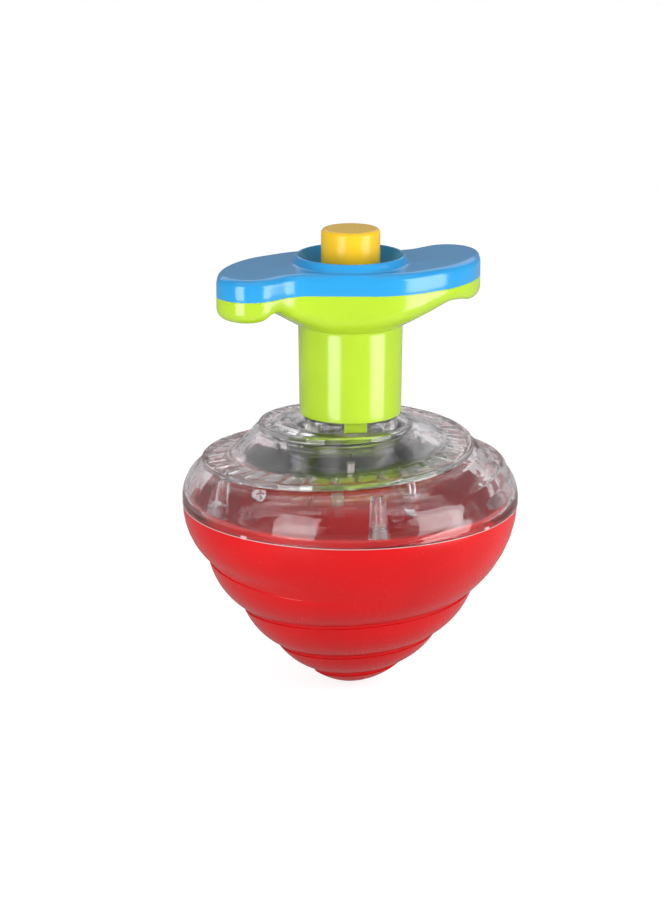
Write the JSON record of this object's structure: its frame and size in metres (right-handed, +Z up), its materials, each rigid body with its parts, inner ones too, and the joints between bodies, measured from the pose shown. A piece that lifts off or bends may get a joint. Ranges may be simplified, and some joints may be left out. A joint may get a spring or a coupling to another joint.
{
  "type": "spinning top with hand launcher",
  "caption": "Clear-domed spiral spinning top held under an S-shaped twist handle with a push button that releases it.",
  "frame": {"origin": "the spin tip's lowest point, on the spin axis", "axes": "+Z up along the spin axis, towards the push button; +X towards the handle's right lobe"},
  "size_m": [0.07, 0.07, 0.0976],
  "materials": {
    "blue_plastic": "gloss",
    "lime_plastic": "gloss",
    "yellow_plastic": "gloss",
    "red_plastic": "gloss",
    "clear_plastic": "clear gloss",
    "clear_led": "clear gloss",
    "dark_plastic": "gloss",
    "ivory_plastic": "satin",
    "orange_plastic": "satin",
    "board": "satin",
    "spring_steel": "bright",
    "screw_steel": "polished",
    "brass_contact": "bright",
    "cell_steel": "bright",
    "component": "gloss",
    "wire_cover": "satin"
  },
  "bodies": {
    "launcher": {"handle_cover": "blue_plastic", "handle_body": "lime_plastic", "bridge_plate": "ivory_plastic", "pawl_pin": "screw_steel", "rotor_bush": "ivory_plastic", "handle_screws": "screw_steel", "wind_spring": "spring_steel"},
    "button": {"push_button": "yellow_plastic", "push_rod": "spring_steel", "button_spring": "spring_steel"},
    "pawl": {"ratchet_pawl": "orange_plastic"},
    "rotor": {"drive_rotor": "lime_plastic", "ratchet_wheel": "ivory_plastic", "rotor_clip": "spring_steel"},
    "top": {"clear_dome": "clear_plastic", "cone_shell": "red_plastic", "centre_housing": "dark_plastic", "circuit_board": "board", "board_screws": "screw_steel", "battery_box": "red_plastic", "battery_plate": "brass_contact", "battery_cells": "cell_steel", "battery_spring": "spring_steel", "leds": "clear_led", "led_legs": "spring_steel", "control_chip": "dark_plastic", "capacitor": "component", "switch_frame": "ivory_plastic", "switch_spring": "spring_steel", "lead_wire": "wire_cover"},
    "switch_weight": {"switch_weight": "brass_contact"}
  },
  "joints": [
    {"name": "button_press", "type": "slide", "parent": "launcher", "child": "button", "axis": [0, 0, -1], "range_m": [0, 0.003], "stiffness_N_per_m": 400, "springref_m": -0.001, "deforming": ["button_spring"]},
    {"name": "pawl_lift", "type": "hinge", "parent": "launcher", "child": "pawl", "pos_m": [0.00475, -0.00898, 0.0807], "axis": [0, 0, -1], "range_deg": [0, 12.5]},
    {"name": "rotor_spin", "type": "hinge", "parent": "launcher", "child": "rotor", "pos_m": [0, 0, 0.07], "axis": [0, 0, 1], "range_deg": [0, 720], "stiffness_Nm_per_rad": 0.002},
    {"name": "top_release", "type": "slide", "parent": "rotor", "child": "top", "axis": [0, 0, -1], "range_m": [0, 0.03]},
    {"name": "switch_throw", "type": "slide", "parent": "top", "child": "switch_weight", "axis": [0, 1, 0], "range_m": [0, 0.0025], "stiffness_N_per_m": 60, "springref_m": -0.0005, "deforming": ["switch_spring"]}
  ],
  "couplings": [
    {"joint": "pawl_lift", "follows": "button_press", "rad_per_m": 69.8}
  ]
}
